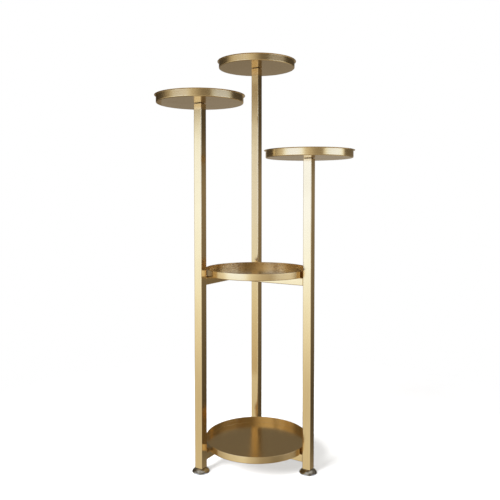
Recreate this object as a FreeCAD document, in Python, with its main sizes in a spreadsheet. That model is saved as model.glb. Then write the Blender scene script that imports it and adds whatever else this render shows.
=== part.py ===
# Plant stand of gold-coated steel. Three square-tube posts stand on levelling feet, each with a round tray on
# its top end, and two round shelf trays lie between the posts on T-shaped supports.
# Frame: +Z up, origin on the floor under the middle of the stand, +X along the stems towards the right post,
# +Y along the crossbars from the left post towards the rear post. Lengths in millimetres.
import FreeCAD, Part
import os
import Sketcher

# Driving dimensions: name, value, meaning.
SIZES = [
    ("post_side", 22.0, "posts' square tube, across its flats"),
    ("bar_side", 19.0, "crossbars' and stems' square tube, across its flats"),
    ("tube_wall", 1.2, "square tube, wall"),
    ("tube_bend", 0.4, "square tube, inside corner radius"),
    ("shelf_radius", 134.0, "shelf tray, outside radius"),
    ("shelf_height", 17.0, "shelf tray, underside to rim"),
    ("shelf_sheet", 1.2, "shelf tray, sheet"),
    ("shelf_bend", 0.4, "shelf tray, inside radius between floor and rim"),
    ("right_gap", 4.0, "shelf rim to the right post's face"),
    ("side_gap", 9.2, "shelf rim to the near corners of the left and rear posts"),
    ("foot_height", 11.5, "floor to the posts' lower ends"),
    ("lower_level", 46.0, "floor to the lower shelf's underside"),
    ("upper_level", 488.0, "floor to the upper shelf's underside"),
    ("right_level", 783.0, "floor to the right top tray's underside"),
    ("tray_step", 134.0, "rise from one top tray to the next"),
    ("tray_radius", 107.0, "top tray, outside radius of its wall"),
    ("tray_height", 19.0, "top tray, underside to lip"),
    ("tray_sheet", 1.0, "top tray, sheet"),
    ("tray_bend", 1.0, "top tray, inside radius between floor and wall"),
    ("lip_width", 4.0, "top tray, reach of its lip past the wall"),
    ("lip_bend", 1.2, "top tray, inside radius of the bend under its lip"),
    ("tray_washer_sheet", 1.2, "tray washer, thickness"),
    ("tray_washer_inset", 0.8, "tray washer, rim to the post's face"),
    ("thread_radius", 4.0, "thread of the feet and top trays"),
    ("thread_gap", 0.08, "radial clearance of a thread in its hole"),
    ("thread_tip", 0.8, "chamfer at a thread's end"),
    ("plug_length", 18.0, "top plug, length in the post"),
    ("plug_relief", 0.2, "plug corners, radius over the tube's inside corners"),
    ("plug_rim", 1.6, "top plug, wall around its recess"),
    ("recess_gap", 0.3, "clearance of a weld pad in the plug's recess"),
    ("weld_pad", 2.0, "tray stud, height of its weld pad"),
    ("tray_stud_length", 16.0, "tray stud, reach below the tray"),
    ("insert_length", 20.0, "foot insert, length in the post"),
    ("stem_plug_length", 15.0, "stem plug, length in the stem"),
    ("bolt_radius", 3.0, "joint bolt, thread"),
    ("bolt_gap", 0.25, "clearance of a joint bolt in a plain hole"),
    ("bolt_engagement", 12.0, "joint bolt, reach into the stem plug"),
    ("bolt_head_radius", 5.5, "joint bolt, head"),
    ("bolt_head_height", 3.3, "joint bolt, head"),
    ("bolt_head_round", 2.0, "joint bolt, radius at the head's edge"),
    ("socket_across", 4.0, "joint bolt, hex socket across its flats"),
    ("socket_depth", 2.0, "joint bolt, hex socket"),
    ("washer_radius", 7.0, "joint washer, outside radius"),
    ("washer_sheet", 1.2, "joint washer, thickness"),
    ("sleeve_radius", 5.0, "crossbar sleeve, outside radius"),
    ("shelf_stud_radius", 2.5, "shelf stud, thread"),
    ("shelf_stud_gap", 0.3, "clearance of a shelf stud in the stem"),
    ("shelf_stud_setback", 12.3, "stem plug's end to the shelf stud beside it"),
    ("shelf_stud_tail", 1.5, "shelf stud, reach past its nut"),
    ("nut_across", 8.0, "shelf nut, across its flats"),
    ("nut_height", 5.0, "shelf nut, with its flange"),
    ("nut_flange_radius", 5.8, "shelf nut, flange"),
    ("nut_flange_sheet", 1.2, "shelf nut, flange thickness"),
    ("nut_access_gap", 0.7, "clearance of a shelf nut in the hole below it"),
    ("foot_radius", 22.0, "foot dome, outside radius"),
    ("hub_radius", 9.0, "foot dome, flat top under the post"),
    ("skirt_height", 1.5, "foot dome, upright edge"),
    ("skirt_wall", 1.7, "foot dome, wall around the pad"),
    ("dome_crown", 18.0, "foot dome, radius of its crown"),
    ("dome_web", 1.5, "foot dome, metal between stud and pin"),
    ("foot_play", 0.2, "foot dome to the post's end when screwed home"),
    ("stud_reach", 28.0, "foot stud, reach above the dome"),
    ("pad_reveal", 1.0, "glide pad, height that shows under the dome"),
    ("pad_height", 3.2, "glide pad, without its pin"),
    ("pad_gap", 0.3, "glide pad to the dome's skirt"),
    ("pad_chamfer", 0.6, "glide pad, lower edge"),
    ("pin_radius", 3.0, "glide pad's pin, which the dome turns on"),
    ("pin_height", 2.0, "glide pad's pin"),
    ("pin_gap", 0.06, "running clearance of the pin"),
    ("pin_end_gap", 0.3, "clearance above the pin"),
    ("overrun", 1.0, "length by which a cutting cylinder passes a face"),
]

# Sizes and places that follow from them. The three posts stand a third of a turn apart around the shelves.
LAYOUT = [
    ("post_bore", "=Sizes.post_side - 2 * Sizes.tube_wall", "inside of a post"),
    ("bar_bore", "=Sizes.bar_side - 2 * Sizes.tube_wall", "inside of a crossbar or stem"),
    ("half_post", "=Sizes.post_side / 2", "post's axis to its face"),
    ("half_bar", "=Sizes.bar_side / 2", "crossbar's or stem's axis to its face"),
    ("plug_corner", "=Sizes.tube_bend + Sizes.plug_relief", "corner radius of a plug"),
    ("corner_reach", "=Sizes.shelf_radius + Sizes.side_gap", "shelf middle to the side posts' near corners"),
    ("cross_reach", "=corner_reach * cos(60) + half_post", "shelf middle to the crossbar, along X"),
    ("right_reach", "=Sizes.shelf_radius + Sizes.right_gap + half_post", "shelf middle to the right post"),
    ("right_x", "=(cross_reach + right_reach) / 2", "right post, X"),
    ("cross_x", "=-right_x", "crossbars, left post and rear post, X"),
    ("shelf_x", "=right_x - right_reach", "shelf middle, X"),
    ("side_y", "=corner_reach * sin(60) + half_post", "rear post, Y"),
    ("left_level", "=Sizes.right_level + Sizes.tray_step", "floor to the left tray's underside"),
    ("rear_level", "=left_level + Sizes.tray_step", "floor to the rear tray's underside"),
    ("crossbar_length", "=2 * side_y - Sizes.post_side", "between the side posts' faces"),
    ("stem_length", "=2 * right_x - half_bar - half_post", "crossbar's face to the right post's face"),
    ("stem_middle", "=cross_reach - half_bar", "stem's end to the shelf middle"),
    ("stud_start", "=Sizes.stem_plug_length + Sizes.shelf_stud_setback", "stem's end to its first stud"),
    ("stud_end", "=2 * stem_middle - stud_start", "stem's end to its second stud"),
    ("tray_base", "=Sizes.tray_bend + Sizes.tray_sheet", "outside radius between tray floor and wall"),
    ("lip_level", "=Sizes.tray_height - Sizes.tray_sheet", "tray underside to the underside of its lip"),
    ("lip_start", "=Sizes.tray_radius + Sizes.lip_bend", "tray axis to the end of the lip's bend"),
    ("lip_edge", "=Sizes.tray_sheet / 2", "radius of the lip's edge"),
    ("lip_end", "=Sizes.tray_radius + Sizes.lip_width - lip_edge", "tray axis to the start of its edge"),
    ("tray_washer_radius", "=half_post - Sizes.tray_washer_inset", "tray washer, outside radius"),
    ("shelf_base", "=Sizes.shelf_bend + Sizes.shelf_sheet", "outside radius between shelf floor and rim"),
    ("shelf_edge", "=Sizes.shelf_sheet / 2", "radius of the shelf rim's edge"),
    ("thread_bore", "=Sizes.thread_radius + Sizes.thread_gap", "hole for a foot's or tray's thread"),
    ("recess_radius", "=post_bore / 2 - Sizes.plug_rim", "recess in a top plug"),
    ("recess_depth", "=Sizes.weld_pad - Sizes.tray_washer_sheet + Sizes.recess_gap", "recess in a top plug"),
    ("weld_pad_radius", "=recess_radius - Sizes.recess_gap", "tray stud, weld pad"),
    ("bolt_hole", "=Sizes.bolt_radius + Sizes.bolt_gap", "plain hole for a joint bolt"),
    ("bolt_grip", "=Sizes.washer_sheet + Sizes.bar_side", "washer and crossbar under a bolt's head"),
    ("bolt_length", "=Sizes.bolt_head_height + bolt_grip + Sizes.bolt_engagement", "joint bolt, whole"),
    ("shelf_stud_length", "=Sizes.tube_wall + Sizes.nut_height + Sizes.shelf_stud_tail", "shelf stud"),
    ("nut_access", "=Sizes.nut_flange_radius + Sizes.nut_access_gap", "hole below a shelf nut"),
    ("dome_top", "=Sizes.foot_height - Sizes.foot_play", "floor to the dome's top"),
    ("skirt_top", "=Sizes.pad_reveal + Sizes.skirt_height", "floor to the foot of the crown"),
    ("skirt_bore", "=Sizes.foot_radius - Sizes.skirt_wall", "recess under the dome"),
    ("pad_radius", "=skirt_bore - Sizes.pad_gap", "glide pad"),
    ("pin_top", "=Sizes.pad_height + Sizes.pin_height", "floor to the pin's end"),
    ("pin_ceiling", "=pin_top + Sizes.pin_end_gap", "floor to the end of the pin's hole"),
    ("pin_bore", "=Sizes.pin_radius + Sizes.pin_gap", "hole for the pin"),
    ("stud_bottom", "=pin_ceiling + Sizes.dome_web", "floor to the foot stud's lower end"),
    ("stud_length", "=dome_top - stud_bottom + Sizes.stud_reach", "foot stud"),
]

# Posts: X, Y and the level of the top tray that each one carries.
POSTS = {
    "left": ("Layout.cross_x", "-Layout.side_y", "Layout.left_level"),
    "rear": ("Layout.cross_x", "Layout.side_y", "Layout.rear_level"),
    "right": ("Layout.right_x", "0", "Sizes.right_level"),
}

# Shelves: level of the underside, which rests on the crossbar and the stem.
SHELVES = {"lower": "Sizes.lower_level", "upper": "Sizes.upper_level"}

# Directions that a piece's own +Z is turned to.
UP = FreeCAD.Rotation()
DOWN = FreeCAD.Rotation(FreeCAD.Vector(1, 0, 0), 180)
ALONG_X = FreeCAD.Rotation(FreeCAD.Vector(0, 1, 0), 90)
ALONG_Y = FreeCAD.Rotation(FreeCAD.Vector(1, 0, 0), -90)

# Share of a length within which two places count as one.
SAME_PLACE_SHARE = 1e-6

doc = FreeCAD.newDocument("plant_stand")
nodes = []


def write_sheet(name, rows):
    """A spreadsheet with one named value in each row, beside its meaning."""
    sheet = doc.addObject("Spreadsheet::Sheet", name)
    for row, (alias, value, meaning) in enumerate(rows, start=1):
        sheet.set(f"A{row}", meaning)
        sheet.set(f"B{row}", str(value))
        sheet.setAlias(f"B{row}", alias)
    doc.recompute()
    return sheet


write_sheet("Sizes", SIZES)
layout = write_sheet("Layout", LAYOUT)


def number(formula):
    """The present value of a formula on the two sheets."""
    return float(layout.evalExpression(formula))


def keep(label, piece):
    """Names a finished piece and puts it on the list of nodes."""
    piece.Label = label
    nodes.append((label, piece))


def group(label, pieces):
    """Keeps a set of identical pieces as one node of separate solids."""
    compound = doc.addObject("Part::Compound", label)
    compound.Links = pieces
    keep(label, compound)


def place(piece, x, y, z, direction=UP):
    """Turns a piece's own +Z to a direction and ties its place to the sheets."""
    piece.Placement = FreeCAD.Placement(FreeCAD.Vector(), direction)
    for axis, formula in zip("xyz", (x, y, z)):
        piece.setExpression(f"Placement.Base.{axis}", formula)
    return piece


def new_sketch(body, name, role):
    """A sketch on one of the body's own origin planes."""
    sketch = body.newObject("Sketcher::SketchObject", f"{body.Name}_{name}")
    plane = next(feature for feature in body.Origin.OriginFeatures if feature.Role == role)
    sketch.AttachmentSupport = (plane, [""])
    sketch.MapMode = "FlatFace"
    return sketch


def fix(sketch, name, formula, kind, *geometry):
    """Adds a dimension to a sketch and ties it to the sheets."""
    index = sketch.addConstraint(Sketcher.Constraint(kind, *geometry, number(formula)))
    sketch.renameConstraint(index, name)
    sketch.setExpression(f"Constraints.{name}", formula)


def square_sketch(body, name, side):
    """A square around the body's axis."""
    sketch = new_sketch(body, name, "XY_Plane")
    half = number(side) / 2
    corners = [FreeCAD.Vector(x * half, y * half) for x, y in ((-1, -1), (1, -1), (1, 1), (-1, 1))]
    for start, end in zip(corners, corners[1:] + corners[:1]):
        sketch.addGeometry(Part.LineSegment(start, end))
    for line in range(4):
        sketch.addConstraint(Sketcher.Constraint("Coincident", line, 2, (line + 1) % 4, 1))
        sketch.addConstraint(Sketcher.Constraint("Vertical" if line % 2 else "Horizontal", line))
    sketch.addConstraint(Sketcher.Constraint("Symmetric", 0, 1, 1, 2, -1, 1))
    fix(sketch, "width", side, "DistanceX", 0, 1, 0, 2)
    fix(sketch, "depth", side, "DistanceY", 1, 1, 1, 2)
    return sketch


def circle_sketch(body, name, role, radius, heights=("0",)):
    """Equal circles on the plane's upright axis, at the given heights."""
    sketch = new_sketch(body, name, role)
    for index, height in enumerate(heights):
        middle = FreeCAD.Vector(0, number(height))
        sketch.addGeometry(Part.Circle(middle, FreeCAD.Vector(0, 0, 1), number(radius)))
        fix(sketch, f"radius_{index}", radius, "Radius", index)
        sketch.addConstraint(Sketcher.Constraint("PointOnObject", index, 3, -2))
        if height == "0":
            sketch.addConstraint(Sketcher.Constraint("PointOnObject", index, 3, -1))
        else:
            fix(sketch, f"height_{index}", height, "DistanceY", -1, 1, index, 3)
    return sketch


def pad(body, sketch, length):
    """Raises a solid from a sketch along the body's +Z."""
    feature = body.newObject("PartDesign::Pad", f"{sketch.Name}_pad")
    feature.Profile = sketch
    feature.setExpression("Length", length)
    doc.recompute()


def pocket(body, sketch, depth=None, way="forward"):
    """Cuts a sketch out to a depth or right through: forward along its normal, back, or both ways."""
    before = body.Shape.Volume
    feature = body.newObject("PartDesign::Pocket", f"{sketch.Name}_pocket")
    feature.Profile = sketch
    feature.Reversed = way != "back"
    feature.SideType = "Symmetric" if way == "both" else "One side"
    if depth:
        feature.Type = "Length"
        feature.setExpression("Length", depth)
    else:
        feature.Type = "ThroughAll"
    doc.recompute()
    if not body.Shape.Volume < before:
        raise RuntimeError(f"{feature.Name} cuts nothing")


def round_corners(body, name, side, radius):
    """Rounds the four edges along +Z at the corners of a square of this side."""
    base = body.Tip
    half = number(side) / 2
    same = half * SAME_PLACE_SHARE
    edges = []
    for index, edge in enumerate(base.Shape.Edges, start=1):
        ends = [vertex.Point for vertex in edge.Vertexes]
        if all(abs(abs(end.x) - half) < same and abs(abs(end.y) - half) < same for end in ends):
            if abs(ends[0].z - ends[-1].z) > same:
                edges.append(f"Edge{index}")
    fillet = body.newObject("PartDesign::Fillet", f"{body.Name}_{name}")
    fillet.Base = (base, edges)
    fillet.setExpression("Radius", radius)
    doc.recompute()


def tube(name, kind, length):
    """A length of post or bar tube on the body's +Z axis, rounded at its corners inside and out."""
    side, bore = f"Sizes.{kind}_side", f"Layout.{kind}_bore"
    body = doc.addObject("PartDesign::Body", name)
    pad(body, square_sketch(body, "outside", side), length)
    pocket(body, square_sketch(body, "inside", bore))
    round_corners(body, "inner_corners", bore, "Sizes.tube_bend")
    round_corners(body, "outer_corners", side, "Sizes.tube_bend + Sizes.tube_wall")
    return body


def plug(name, kind, length, hole):
    """A square plug that fills a post or bar, with a hole along its axis."""
    bore = f"Layout.{kind}_bore"
    body = doc.addObject("PartDesign::Body", name)
    pad(body, square_sketch(body, "outside", bore), length)
    round_corners(body, "corners", bore, "Layout.plug_corner")
    pocket(body, circle_sketch(body, "hole", "XY_Plane", hole))
    return body


def turned(name, corners):
    """A solid turned about the body's +Z axis.

    Each corner of the half section is a radius, a height and, where an arc leads on to the next corner, the
    arc's radius and the side that it turns to.
    """
    body = doc.addObject("PartDesign::Body", name)
    sketch = new_sketch(body, "section", "XZ_Plane")
    points = [FreeCAD.Vector(number(corner[0]), number(corner[1])) for corner in corners]
    ends = []
    for corner, start, end in zip(corners, points, points[1:] + points[:1]):
        if len(corner) == 2:
            sketch.addGeometry(Part.LineSegment(start, end))
            ends.append((1, 2))
            continue
        radius = number(corner[2])
        chord = end - start
        rise = radius - (radius ** 2 - chord.Length ** 2 / 4) ** 0.5
        outward = FreeCAD.Vector(chord.y, -chord.x).normalize()
        turn = 1 if corner[3] == "left" else -1
        sketch.addGeometry(Part.Arc(start, (start + end) / 2 + outward * rise * turn, end))
        ends.append((1, 2) if turn > 0 else (2, 1))
    for index, corner in enumerate(corners):
        after = (index + 1) % len(corners)
        sketch.addConstraint(Sketcher.Constraint("Coincident", index, ends[index][1], after, ends[after][0]))
        for way, formula, kind, axis in zip(("out", "up"), corner, ("DistanceX", "DistanceY"), (-2, -1)):
            if formula == "0":
                sketch.addConstraint(Sketcher.Constraint("PointOnObject", index, ends[index][0], axis))
            else:
                fix(sketch, f"{way}_{index}", formula, kind, -1, 1, index, ends[index][0])
        if len(corner) > 2:
            fix(sketch, f"arc_{index}", corner[2], "Radius", index)
    revolution = body.newObject("PartDesign::Revolution", f"{body.Name}_turn")
    revolution.Profile = sketch
    revolution.ReferenceAxis = (sketch, ["V_Axis"])
    revolution.Angle = 360
    doc.recompute()
    return body


def ring(name, inner, outer, height):
    """A plain turned ring, such as a washer or a sleeve."""
    return turned(name, [(inner, "0"), (outer, "0"), (outer, height), (inner, height)])


def stud(name, radius, length):
    """A round stud with a chamfered end."""
    shoulder = f"{length} - Sizes.thread_tip"
    end = f"{radius} - Sizes.thread_tip"
    return turned(name, [("0", "0"), (radius, "0"), (radius, shoulder), (end, length), ("0", length)])


def top_tray(name):
    """A spun tray: flat floor, rounded base, upright wall and a lip bent outwards, with a rounded edge."""
    wall = "Sizes.tray_radius"
    inside = "Sizes.tray_radius - Sizes.tray_sheet"
    floor_edge = "Sizes.tray_radius - Layout.tray_base"
    bend_level = "Layout.lip_level - Sizes.lip_bend"
    return turned(name, [
        ("0", "0"),
        (floor_edge, "0", "Layout.tray_base", "left"),
        (wall, "Layout.tray_base"),
        (wall, bend_level, "Sizes.lip_bend", "right"),
        ("Layout.lip_start", "Layout.lip_level"),
        ("Layout.lip_end", "Layout.lip_level", "Layout.lip_edge", "left"),
        ("Layout.lip_end + Layout.lip_edge", "Layout.lip_level + Layout.lip_edge", "Layout.lip_edge", "left"),
        ("Layout.lip_end", "Sizes.tray_height"),
        ("Layout.lip_start", "Sizes.tray_height", "Sizes.lip_bend + Sizes.tray_sheet", "left"),
        (inside, bend_level),
        (inside, "Layout.tray_base", "Sizes.tray_bend", "right"),
        (floor_edge, "Sizes.tray_sheet"),
        ("0", "Sizes.tray_sheet"),
    ])


def shelf_tray(name):
    """A pressed tray: flat floor and a plain upright rim with a rounded edge."""
    wall = "Sizes.shelf_radius"
    inside = "Sizes.shelf_radius - Sizes.shelf_sheet"
    floor_edge = "Sizes.shelf_radius - Layout.shelf_base"
    shoulder = "Sizes.shelf_height - Layout.shelf_edge"
    return turned(name, [
        ("0", "0"),
        (floor_edge, "0", "Layout.shelf_base", "left"),
        (wall, "Layout.shelf_base"),
        (wall, shoulder, "Layout.shelf_edge", "left"),
        ("Sizes.shelf_radius - Layout.shelf_edge", "Sizes.shelf_height", "Layout.shelf_edge", "left"),
        (inside, shoulder),
        (inside, "Layout.shelf_base", "Sizes.shelf_bend", "right"),
        (floor_edge, "Sizes.shelf_sheet"),
        ("0", "Sizes.shelf_sheet"),
    ])


def tray_stud(name):
    """A stud with a round pad that is welded under a top tray."""
    shoulder = "Sizes.tray_stud_length - Sizes.thread_tip"
    return turned(name, [
        ("0", "0"),
        ("Layout.weld_pad_radius", "0"),
        ("Layout.weld_pad_radius", "Sizes.weld_pad"),
        ("Sizes.thread_radius", "Sizes.weld_pad"),
        ("Sizes.thread_radius", shoulder),
        ("Sizes.thread_radius - Sizes.thread_tip", "Sizes.tray_stud_length"),
        ("0", "Sizes.tray_stud_length"),
    ])


def joint_bolt(name):
    """A bolt with a rounded head and a hex socket, its head at the lower end of its axis."""
    body = turned(f"{name}_body", [
        ("0", "0"),
        ("Sizes.bolt_head_radius - Sizes.bolt_head_round", "0", "Sizes.bolt_head_round", "left"),
        ("Sizes.bolt_head_radius", "Sizes.bolt_head_round"),
        ("Sizes.bolt_head_radius", "Sizes.bolt_head_height"),
        ("Sizes.bolt_radius", "Sizes.bolt_head_height"),
        ("Sizes.bolt_radius", "Layout.bolt_length - Sizes.thread_tip"),
        ("Sizes.bolt_radius - Sizes.thread_tip", "Layout.bolt_length"),
        ("0", "Layout.bolt_length"),
    ])
    socket = doc.addObject("Part::Prism", f"{name}_socket")
    socket.Polygon = 6
    socket.setExpression("Circumradius", "Sizes.socket_across / sqrt(3)")
    socket.setExpression("Height", "Sizes.socket_depth + Sizes.overrun")
    place(socket, "0", "0", "-Sizes.overrun")
    bolt = doc.addObject("Part::Cut", name)
    bolt.Base = body
    bolt.Tool = socket
    return bolt


def shelf_nut(name):
    """A hex nut with a round flange at the lower end of its axis."""
    hexagon = doc.addObject("Part::Prism", f"{name}_hexagon")
    hexagon.Polygon = 6
    hexagon.setExpression("Circumradius", "Sizes.nut_across / sqrt(3)")
    hexagon.setExpression("Height", "Sizes.nut_height")
    flange = doc.addObject("Part::Cylinder", f"{name}_flange")
    flange.setExpression("Radius", "Sizes.nut_flange_radius")
    flange.setExpression("Height", "Sizes.nut_flange_sheet")
    blank = doc.addObject("Part::Fuse", f"{name}_blank")
    blank.Base = hexagon
    blank.Tool = flange
    hole = doc.addObject("Part::Cylinder", f"{name}_hole")
    hole.setExpression("Radius", "Sizes.shelf_stud_radius + Sizes.thread_gap")
    hole.setExpression("Height", "Sizes.nut_height + 2 * Sizes.overrun")
    place(hole, "0", "0", "-Sizes.overrun")
    nut = doc.addObject("Part::Cut", name)
    nut.Base = blank
    nut.Tool = hole
    return nut


def foot_dome(name):
    """A domed foot: recess below for the glide pad, hole for the pad's pin, and a hole above for the stud."""
    return turned(name, [
        ("Layout.skirt_bore", "Sizes.pad_reveal"),
        ("Sizes.foot_radius", "Sizes.pad_reveal"),
        ("Sizes.foot_radius", "Layout.skirt_top", "Sizes.dome_crown", "left"),
        ("Sizes.hub_radius", "Layout.dome_top"),
        ("Layout.thread_bore", "Layout.dome_top"),
        ("Layout.thread_bore", "Layout.stud_bottom"),
        ("0", "Layout.stud_bottom"),
        ("0", "Layout.pin_ceiling"),
        ("Layout.pin_bore", "Layout.pin_ceiling"),
        ("Layout.pin_bore", "Sizes.pad_height"),
        ("Layout.skirt_bore", "Sizes.pad_height"),
    ])


def foot_pad(name):
    """A glide pad with a chamfered lower edge and a pin that the dome turns on."""
    return turned(name, [
        ("0", "0"),
        ("Layout.pad_radius - Sizes.pad_chamfer", "0"),
        ("Layout.pad_radius", "Sizes.pad_chamfer"),
        ("Layout.pad_radius", "Sizes.pad_height"),
        ("Sizes.pin_radius", "Sizes.pad_height"),
        ("Sizes.pin_radius", "Layout.pin_top"),
        ("0", "Layout.pin_top"),
    ])


def build_post(side, x, y, level):
    """A post with its top plug, tray, foot insert and levelling foot."""
    post_top = f"{level} - Sizes.tray_washer_sheet"
    post = tube(f"post_{side}", "post", f"{post_top} - Sizes.foot_height")
    keep(f"post_{side}", place(post, x, y, "Sizes.foot_height"))
    top_plug = plug(f"top_plug_{side}", "post", "Sizes.plug_length", "Layout.thread_bore")
    recess = circle_sketch(top_plug, "recess", "XY_Plane", "Layout.recess_radius")
    pocket(top_plug, recess, "Layout.recess_depth")
    keep(f"top_plug_{side}", place(top_plug, x, y, post_top, DOWN))
    keep(f"tray_{side}", place(top_tray(f"tray_{side}"), x, y, level))
    insert = plug(f"foot_insert_{side}", "post", "Sizes.insert_length", "Layout.thread_bore")
    keep(f"foot_insert_{side}", place(insert, x, y, "Sizes.foot_height"))
    keep(f"foot_dome_{side}", place(foot_dome(f"foot_dome_{side}"), x, y, "0"))
    keep(f"foot_pad_{side}", place(foot_pad(f"foot_pad_{side}"), x, y, "0"))
    screw = stud(f"foot_stud_{side}", "Sizes.thread_radius", "Layout.stud_length")
    keep(f"foot_stud_{side}", place(screw, x, y, "Layout.stud_bottom"))


def build_shelf(level_name, level):
    """A shelf tray on its crossbar and stem, and the plug and sleeve of the bolted joint between them."""
    middle = f"{level} - Layout.half_bar"
    crossbar = tube(f"crossbar_{level_name}", "bar", "Layout.crossbar_length")
    half_way = "Layout.crossbar_length / 2"
    bolt_hole = circle_sketch(crossbar, "bolt_hole", "YZ_Plane", "Layout.bolt_hole", [half_way])
    pocket(crossbar, bolt_hole, way="both")
    start = "Layout.half_post - Layout.side_y"
    keep(f"crossbar_{level_name}", place(crossbar, "Layout.cross_x", start, middle, ALONG_Y))
    stem = tube(f"stem_{level_name}", "bar", "Layout.stem_length")
    stud_hole = "Sizes.shelf_stud_radius + Sizes.shelf_stud_gap"
    stud_places = ["Layout.stud_start", "Layout.stud_end"]
    pocket(stem, circle_sketch(stem, "stud_holes", "YZ_Plane", stud_hole, stud_places), way="back")
    pocket(stem, circle_sketch(stem, "nut_access", "YZ_Plane", "Layout.nut_access", stud_places))
    stem_start = "Layout.cross_x + Layout.half_bar"
    keep(f"stem_{level_name}", place(stem, stem_start, "0", middle, ALONG_X))
    plug_bore = "Sizes.bolt_radius + Sizes.thread_gap"
    stem_plug = plug(f"stem_plug_{level_name}", "bar", "Sizes.stem_plug_length", plug_bore)
    keep(f"stem_plug_{level_name}", place(stem_plug, stem_start, "0", middle, ALONG_X))
    sleeve = ring(f"sleeve_{level_name}", "Layout.bolt_hole", "Sizes.sleeve_radius", "Layout.bar_bore")
    sleeve_start = "Layout.cross_x - Layout.bar_bore / 2"
    keep(f"sleeve_{level_name}", place(sleeve, sleeve_start, "0", middle, ALONG_X))
    keep(f"shelf_{level_name}", place(shelf_tray(f"shelf_{level_name}"), "Layout.shelf_x", "0", level))


def build_fasteners():
    """The studs, nuts, bolts and washers, each kind as one node."""
    sheet = "Sizes.tray_washer_sheet"
    tray_studs, tray_washers = [], []
    for side, (x, y, level) in POSTS.items():
        tray_studs.append(place(tray_stud(f"tray_stud_{side}"), x, y, level, DOWN))
        washer = ring(f"tray_washer_{side}", "Layout.recess_radius", "Layout.tray_washer_radius", sheet)
        tray_washers.append(place(washer, x, y, f"{level} - {sheet}"))
    group("tray_studs", tray_studs)
    group("tray_washers", tray_washers)
    bolts, washers, shelf_studs, nuts = [], [], [], []
    face = "Layout.cross_x - Layout.half_bar"
    for name, level in SHELVES.items():
        middle = f"{level} - Layout.half_bar"
        washer = ring(f"joint_washer_{name}", "Layout.bolt_hole", "Sizes.washer_radius", "Sizes.washer_sheet")
        washers.append(place(washer, f"{face} - Sizes.washer_sheet", "0", middle, ALONG_X))
        head = f"{face} - Sizes.washer_sheet - Sizes.bolt_head_height"
        bolts.append(place(joint_bolt(f"joint_bolt_{name}"), head, "0", middle, ALONG_X))
        for end in ("start", "end"):
            x = f"Layout.cross_x + Layout.half_bar + Layout.stud_{end}"
            screw = stud(f"shelf_stud_{name}_{end}", "Sizes.shelf_stud_radius", "Layout.shelf_stud_length")
            shelf_studs.append(place(screw, x, "0", level, DOWN))
            nut = shelf_nut(f"shelf_nut_{name}_{end}")
            nuts.append(place(nut, x, "0", f"{level} - Sizes.tube_wall", DOWN))
    group("joint_bolts", bolts)
    group("joint_washers", washers)
    group("shelf_studs", shelf_studs)
    group("shelf_nuts", nuts)


def check():
    """Stops if any object failed, or a node's shape is empty or not valid."""
    doc.recompute()
    for item in doc.Objects:
        if "Invalid" in item.State or "Error" in item.State:
            raise RuntimeError(f"{item.Label} failed: {item.State}")
    for label, piece in nodes:
        if piece.Shape.isNull() or not piece.Shape.isValid() or not piece.Shape.Solids:
            raise RuntimeError(f"{label} has no valid solid")


def export():
    """Writes each node to a file of its own."""
    os.makedirs("parts", exist_ok=True)
    for label, piece in nodes:
        piece.Shape.exportStep(f"parts/{label}.step")


for side, (x, y, level) in POSTS.items():
    build_post(side, x, y, level)
for level_name, level in SHELVES.items():
    build_shelf(level_name, level)
build_fasteners()
check()
export()
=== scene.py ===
import math
from collections import namedtuple

import bpy
import numpy as np
from bpy.props import FloatProperty, FloatVectorProperty, PointerProperty
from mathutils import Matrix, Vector


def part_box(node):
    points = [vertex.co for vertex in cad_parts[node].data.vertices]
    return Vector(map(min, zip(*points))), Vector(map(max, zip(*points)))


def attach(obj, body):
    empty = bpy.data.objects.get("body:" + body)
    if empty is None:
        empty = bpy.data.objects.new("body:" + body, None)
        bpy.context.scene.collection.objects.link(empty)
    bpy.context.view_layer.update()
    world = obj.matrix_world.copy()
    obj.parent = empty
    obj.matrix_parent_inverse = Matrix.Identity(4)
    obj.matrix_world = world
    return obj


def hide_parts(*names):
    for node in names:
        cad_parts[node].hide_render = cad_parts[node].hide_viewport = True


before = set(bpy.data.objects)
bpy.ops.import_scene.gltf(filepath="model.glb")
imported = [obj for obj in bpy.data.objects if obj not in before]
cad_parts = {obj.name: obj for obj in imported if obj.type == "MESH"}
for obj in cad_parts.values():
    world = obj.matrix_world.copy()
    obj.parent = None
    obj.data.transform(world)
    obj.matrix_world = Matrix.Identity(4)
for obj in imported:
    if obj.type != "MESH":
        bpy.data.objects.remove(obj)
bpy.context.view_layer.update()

bl_info = {
    "name": "Tiered plant stand",
    "version": (1, 0, 0),
    "blender": (4, 5, 0),
    "location": "3D View > Sidebar > Plant stand",
    "description": "Dresses a tiered metal stand: tubes, spun trays, feet and fasteners, in a small studio",
    "category": "Object",
}

SIDES = ("left", "rear", "right")
LEVELS = ("lower", "upper")

# Segments round a turned piece: trays and stage, feet and washers, small fasteners.
ROUND_STEPS = 192
FOOT_ROUND_STEPS = 96
SMALL_ROUND_STEPS = 48

# Points on a small arc, on a long one and on a foot's crown, and rings on a tray's floor.
ARC_STEPS = 7
LONG_ARC_STEPS = 14
CROWN_STEPS = 21
FLOOR_RINGS = 6

# Rows to one turn of a thread, and its depth as a share of the pitch.
THREAD_ROWS = 8
THREAD_DEPTH_SHARE = 0.55

# Rows across a weld and points along each of its sides, the shares of its fillet that the ripples add and
# that grinding leaves on the sides, and how far its corners are paled, as edge wear and a painted highlight.
WELD_ROWS = 29
WELD_STEPS = 40
RIPPLE_SHARE = 0.10
GROUND_SHARE = 0.35
WELD_WEAR_AND_SHEEN_SHARE = 0.5

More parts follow.
